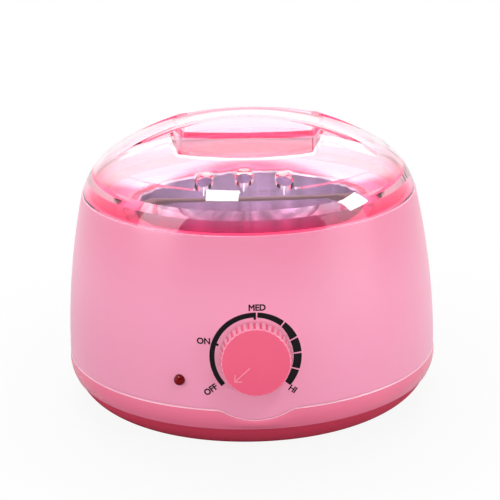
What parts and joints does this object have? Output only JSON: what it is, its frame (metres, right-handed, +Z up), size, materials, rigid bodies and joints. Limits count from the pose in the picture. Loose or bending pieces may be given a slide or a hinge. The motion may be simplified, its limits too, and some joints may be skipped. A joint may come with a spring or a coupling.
{
  "type": "wax warmer",
  "caption": "Round pink table warmer for wax with a clear domed lid, a lift-out pot with a wire bail, a heating cup and a front temperature knob with a lamp.",
  "frame": {"origin": "on the table, under the axis of the round body, in the plane of the rubber feet", "axes": "+Z up, -Y towards the user, where the knob is, +X to the user's right"},
  "size_m": [0.1804, 0.1886, 0.1391],
  "materials": {
    "body_pink": "glossy injection moulded pink plastic",
    "base_pink": "glossy injection moulded deep pink plastic",
    "knob_pink": "satin moulded deep pink plastic",
    "lid_clear": "clear pink tinted moulded plastic",
    "pot_aluminium": "brushed, drawn aluminium",
    "cup_aluminium": "drawn aluminium",
    "shaft_aluminium": "turned aluminium",
    "bail_steel": "bright plated wire",
    "plated_steel": "zinc plated steel",
    "contact_brass": "bare brass",
    "heater_sheet": "mica sheet with a heating wire",
    "wrap_cloth": "woven glass fibre",
    "fuse_case": "plain drawn case",
    "white_insulator": "matt white insulating body",
    "black_plastic": "matt black plastic",
    "resistor_body": "lacquered",
    "lamp_red": "clear dark red lens",
    "foot_rubber": "matt moulded rubber",
    "gland_rubber": "matt moulded rubber"
  },
  "bodies": {
    "base": {"outer_shell": "body_pink", "base_pan": "base_pink", "rubber_feet": "foot_rubber", "base_screws": "plated_steel", "heater_cup": "cup_aluminium", "cup_stud": "plated_steel", "stud_nut": "plated_steel", "heating_band": "heater_sheet", "insulating_wrap": "wrap_cloth", "wrap_straps": "plated_steel", "shield_plate": "plated_steel", "thermal_fuse": "fuse_case", "fuse_clip": "plated_steel", "thermostat_block": "white_insulator", "thermostat_neck_nut": "plated_steel", "contact_blades": "contact_brass", "indicator_lamp": "lamp_red", "lamp_holder": "black_plastic", "lamp_resistor": "resistor_body", "terminal_block": "white_insulator", "terminal_screws": "contact_brass", "cord_gland": "gland_rubber", "cord_clamp": "white_insulator", "clamp_screws": "plated_steel"},
    "knob": {"control_knob": "knob_pink", "control_shaft": "shaft_aluminium", "knob_clip": "plated_steel"},
    "pot": {"inner_pot": "pot_aluminium"},
    "bail": {"pot_bail": "bail_steel"},
    "lid": {"lid_cover": "lid_clear"}
  },
  "joints": [
    {"name": "knob_turn", "type": "hinge", "parent": "base", "child": "knob", "pos_m": [0, -0.08898, 0.047], "axis": [0, 0.9972, -0.0751], "range_deg": [0, 262]},
    {"name": "pot_lift", "type": "slide", "parent": "base", "child": "pot", "axis": [0, 0, 1], "range_m": [0, 0.075]},
    {"name": "bail_swing", "type": "hinge", "parent": "pot", "child": "bail", "pos_m": [0, 0, 0.0865], "axis": [1, 0, 0], "range_deg": [0, 125.4]},
    {"name": "lid_lift", "type": "slide", "parent": "pot", "child": "lid", "axis": [0, 0, 1], "range_m": [0, 0.06]}
  ]
}
